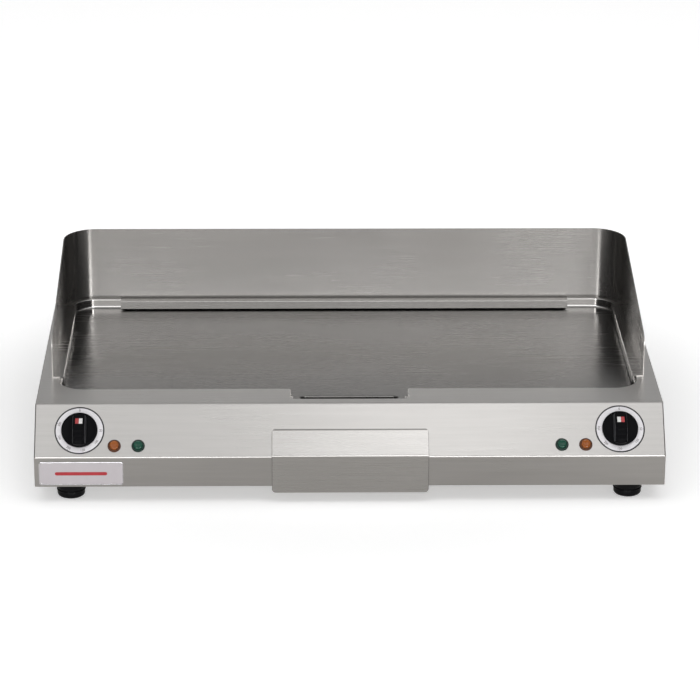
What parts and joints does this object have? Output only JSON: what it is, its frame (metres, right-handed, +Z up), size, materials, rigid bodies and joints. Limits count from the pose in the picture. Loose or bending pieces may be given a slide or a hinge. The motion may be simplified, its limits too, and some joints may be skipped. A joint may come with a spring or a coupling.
{
  "type": "flat top griddle",
  "caption": "Table-top electric griddle: sunk polished plate with a drain slot, lift-off splash guard, sloped control panel with knobs and lamps, grease drawer.",
  "frame": {"origin": "middle of the width and of the overall depth, on the surface the feet stand on", "axes": "+X along the width to the right of someone facing the controls, +Y from the controls to the back, +Z up"},
  "size_m": [0.885, 0.5268, 0.243],
  "materials": {
    "housing_steel": "brushed along the width, satin",
    "cooking_surface": "polished, slightly darkened, faint haze",
    "guard_steel": "satin, reflections drawn out upright",
    "drawer_steel": "brushed along the width",
    "folded_sheet": "mill finish",
    "fastener_steel": "bright zinc",
    "element_sheath": "heat-darkened, matte",
    "copper_bulb": "drawn copper, dull",
    "fibre_mat": "white ceramic fibre",
    "ceramic_body": "glazed off-white ceramic",
    "knob_black": "moulded black, satin gloss",
    "flag_red_white": "half red and half white",
    "dial_white": "printed white with a black outline",
    "lens_amber": "translucent amber",
    "lens_green": "translucent green",
    "lamp_plastic": "natural nylon",
    "badge_silver": "satin silver with a plain red stripe",
    "foot_black": "black moulding, glossy",
    "terminal_plastic": "cream moulding",
    "gland_plastic": "black nylon",
    "wire_sleeve": "glass-fibre sleeving"
  },
  "bodies": {
    "body": {"badge": "badge_silver", "base_plate": "housing_steel", "base_screws": "fastener_steel", "bonding_nuts": "fastener_steel", "bonding_stud": "fastener_steel", "cable_gland": "gland_plastic", "clamp_bars_left": "folded_sheet", "clamp_bars_right": "folded_sheet", "dial_left": "dial_white", "dial_right": "dial_white", "drain_chute": "folded_sheet", "drawer_runner_left": "folded_sheet", "drawer_runner_right": "folded_sheet", "foot_front_left": "foot_black", "foot_front_right": "foot_black", "foot_nuts": "fastener_steel", "foot_rear_left": "foot_black", "foot_rear_right": "foot_black", "foot_screws": "fastener_steel", "foot_washers": "fastener_steel", "gland_nut": "gland_plastic", "griddle_plate": "cooking_surface", "heat_shield": "folded_sheet", "heating_element_left": "element_sheath", "heating_element_right": "element_sheath", "insulation_mat": "fibre_mat", "lamp_holder_amber_left": "lamp_plastic", "lamp_holder_amber_right": "lamp_plastic", "lamp_holder_green_left": "lamp_plastic", "lamp_holder_green_right": "lamp_plastic", "lamp_lens_amber_left": "lens_amber", "lamp_lens_amber_right": "lens_amber", "lamp_lens_green_left": "lens_green", "lamp_lens_green_right": "lens_green", "lamp_nuts": "fastener_steel", "plate_nuts": "fastener_steel", "plate_studs": "fastener_steel", "rear_panel": "housing_steel", "rear_screws": "fastener_steel", "safety_cutout_left": "ceramic_body", "safety_cutout_right": "ceramic_body", "sensor_left": "copper_bulb", "sensor_right": "copper_bulb", "shield_screws": "fastener_steel", "shield_spacers": "folded_sheet", "terminal_block": "terminal_plastic", "thermostat_left": "ceramic_body", "thermostat_right": "ceramic_body", "thermostat_screws": "fastener_steel", "top_housing": "housing_steel", "wiring_loom": "wire_sleeve"},
    "knob_left": {"knob_left": "knob_black", "knob_flag_left": "flag_red_white", "spindle_left": "fastener_steel"},
    "knob_right": {"knob_right": "knob_black", "knob_flag_right": "flag_red_white", "spindle_right": "fastener_steel"},
    "grease_drawer": {"drawer_tray": "drawer_steel", "drawer_front": "drawer_steel"},
    "splash_guard": {"splash_guard": "guard_steel"}
  },
  "joints": [
    {"name": "knob_left_turn", "type": "hinge", "parent": "body", "child": "knob_left", "pos_m": [-0.3795, -0.23505, 0.101], "axis": [0, 0.7495, -0.662], "range_deg": [0, 290]},
    {"name": "knob_right_turn", "type": "hinge", "parent": "body", "child": "knob_right", "pos_m": [0.3795, -0.23505, 0.101], "axis": [0, 0.7495, -0.662], "range_deg": [0, 290]},
    {"name": "drawer_slide", "type": "slide", "parent": "body", "child": "grease_drawer", "axis": [0, -1, 0], "range_m": [0, 0.125]},
    {"name": "guard_lift", "type": "slide", "parent": "body", "child": "splash_guard", "axis": [0, 0, 1], "range_m": [0, 0.08]}
  ]
}
